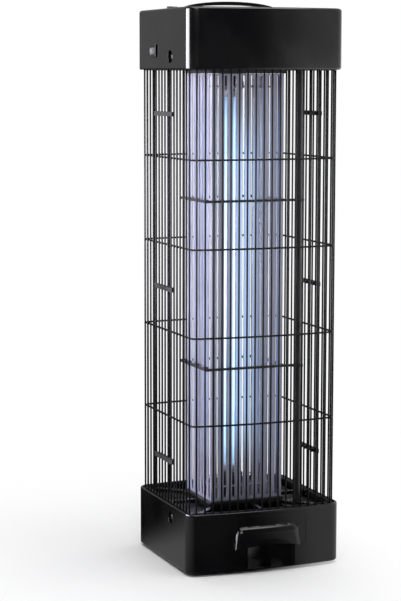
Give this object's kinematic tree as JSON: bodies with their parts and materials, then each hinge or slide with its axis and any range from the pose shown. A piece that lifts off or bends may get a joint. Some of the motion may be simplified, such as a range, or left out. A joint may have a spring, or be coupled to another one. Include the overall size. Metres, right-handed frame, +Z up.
{
  "type": "electric bug zapper",
  "caption": "Square electric bug zapper tower: wire cage around slotted electrode plates and one lamp, with black cap, base, pull-out tray and folding handle.",
  "frame": {"origin": "on the floor plane, below the centre of the square tower", "axes": "+Z up along the lamp, -Y is the front with the tray pull, +X is the right side seen from the front"},
  "size_m": [0.1866, 0.1881, 0.6326],
  "materials": {
    "gloss_black": "glossy moulded black",
    "matte_black": "fine satin moulded black",
    "insulating_plastic": "satin heat-resistant black",
    "cage_wire": "satin black powder coat",
    "electrode_sheet": "satin rolled sheet with a cool tint",
    "lamp_metal": "satin",
    "lamp_glass": "frosted phosphor-coated glass, lit pale blue",
    "rubber": "matte",
    "black_screw": "black oxide",
    "steel": "bright zinc-plated",
    "copper": "varnished copper",
    "board": "green solder mask",
    "pale_plastic": "off-white moulded",
    "grey_plastic": "grey potting case"
  },
  "bodies": {
    "tower": {"ballast": "grey_plastic", "base_deck": "gloss_black", "base_housing": "gloss_black", "base_plate": "matte_black", "base_screw_left": "black_screw", "base_screw_right": "black_screw", "bottom_screw_1": "steel", "bottom_screw_2": "steel", "bottom_screw_3": "steel", "bottom_screw_4": "steel", "cage_clip_left_1": "insulating_plastic", "cage_clip_left_2": "insulating_plastic", "cage_clip_left_3": "insulating_plastic", "cage_clip_right_1": "insulating_plastic", "cage_clip_right_2": "insulating_plastic", "cage_clip_right_3": "insulating_plastic", "cage_front": "cage_wire", "cage_rear": "cage_wire", "cap_deck": "matte_black", "cap_screw_left": "black_screw", "cap_screw_right": "black_screw", "circuit_board": "board", "cord_inlet": "rubber", "electrode_front": "electrode_sheet", "electrode_left": "electrode_sheet", "electrode_rear": "electrode_sheet", "electrode_right": "electrode_sheet", "grid_brace_lower": "insulating_plastic", "grid_brace_upper": "insulating_plastic", "handle_pivot_left": "matte_black", "handle_pivot_right": "matte_black", "hv_capacitor_1": "copper", "hv_capacitor_2": "copper", "inner_grid": "steel", "insect_funnel": "matte_black", "insulator_bottom": "insulating_plastic", "insulator_top": "insulating_plastic", "lampholder_bottom": "insulating_plastic", "lampholder_top": "insulating_plastic", "rocker_housing": "gloss_black", "rubber_foot_1": "rubber", "rubber_foot_2": "rubber", "rubber_foot_3": "rubber", "rubber_foot_4": "rubber", "starter": "pale_plastic", "starter_holder": "pale_plastic", "top_cover": "gloss_black", "transformer_coil": "copper", "transformer_core": "steel", "tray_guide": "matte_black", "wire_conduit": "insulating_plastic"},
    "tray": {"collection_tray": "gloss_black"},
    "handle": {"carry_handle": "gloss_black"},
    "rocker": {"rocker_button": "matte_black"},
    "lamp": {"lamp_tube": "lamp_glass", "lamp_cap_bottom": "lamp_metal", "lamp_cap_top": "lamp_metal"}
  },
  "joints": [
    {"name": "tray_slide", "type": "slide", "parent": "tower", "child": "tray", "axis": [0, -1, 0], "range_m": [0, 0.13]},
    {"name": "handle_fold", "type": "hinge", "parent": "tower", "child": "handle", "pos_m": [0, 0.058, 0.6254], "axis": [-1, 0, 0], "range_deg": [0, 90]},
    {"name": "rocker_tilt", "type": "hinge", "parent": "tower", "child": "rocker", "pos_m": [-0.092, 0.0264, 0.5768], "axis": [0, 0, 1], "range_deg": [-12, 0]},
    {"name": "lamp_twist", "type": "hinge", "parent": "tower", "child": "lamp", "pos_m": [-0.009, 0, 0.3], "axis": [0, 0, 1], "range_deg": [0, 90]}
  ]
}
